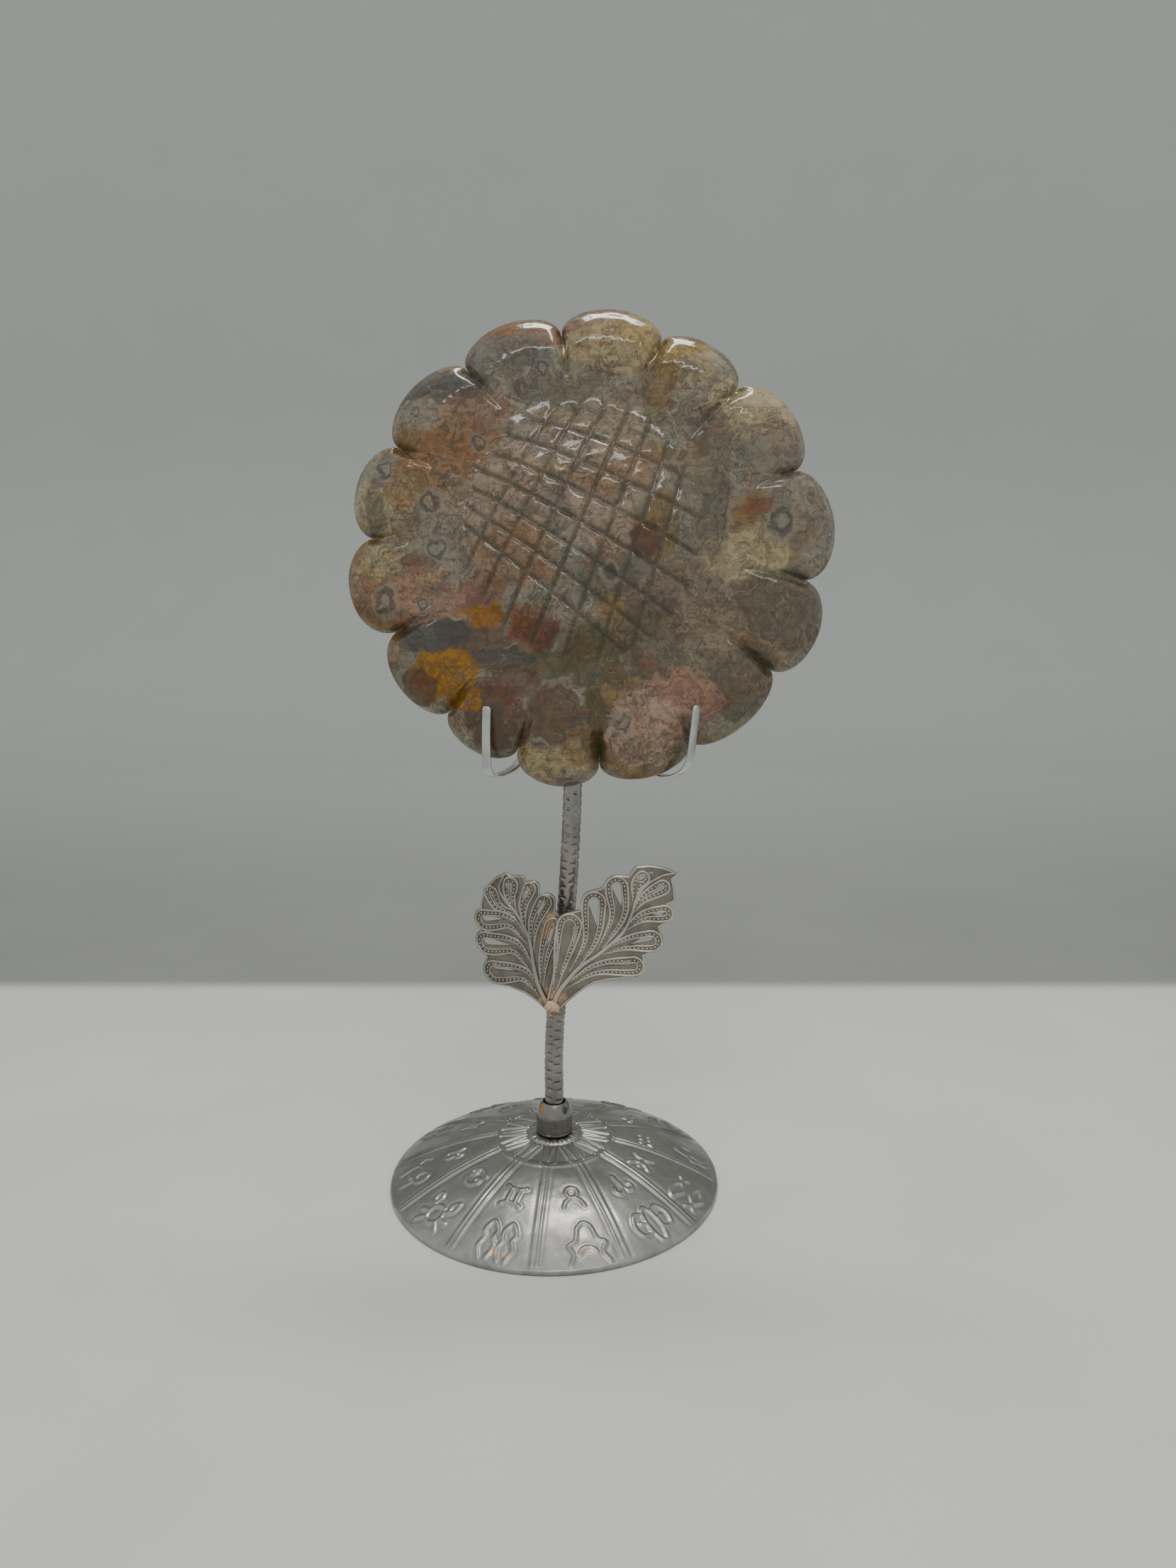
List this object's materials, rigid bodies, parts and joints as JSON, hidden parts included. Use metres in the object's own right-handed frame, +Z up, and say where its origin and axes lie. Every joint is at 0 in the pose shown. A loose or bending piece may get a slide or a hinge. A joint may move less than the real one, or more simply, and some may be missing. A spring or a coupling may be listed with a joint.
{
  "type": "agate flower carving on a metal stand",
  "caption": "Sunflower carved from banded lace agate, leaning on two spring hooks of a nicked metal stem with filigree leaves and a domed, ribbed round foot.",
  "frame": {"origin": "on the floor, straight below the middle of the whole object's box, which is close to straight below the middle of the flower", "axes": "+Z up along the stem, -Y towards the viewer whom the carved face of the flower looks at, +X to that viewer's right"},
  "size_m": [0.1063, 0.0798, 0.2039],
  "materials": {
    "agate": "polished, banded and mottled grey, cream, ochre, pink and maroon, slightly translucent",
    "pressed_metal": "satin pressed sheet",
    "plated_metal": "plated, half bright, with nicks",
    "spring_strip": "satin strip",
    "filigree": "stamped and pierced sheet, half bright",
    "copper_solder": "dull copper-coloured solder"
  },
  "bodies": {
    "root": {"flower": "agate", "base_dome": "pressed_metal", "collar": "plated_metal", "stem": "plated_metal", "cradle_left": "spring_strip", "cradle_right": "spring_strip", "leaf_left": "filigree", "leaf_right": "filigree", "leaf_solder": "copper_solder"}
  },
  "joints": []
}
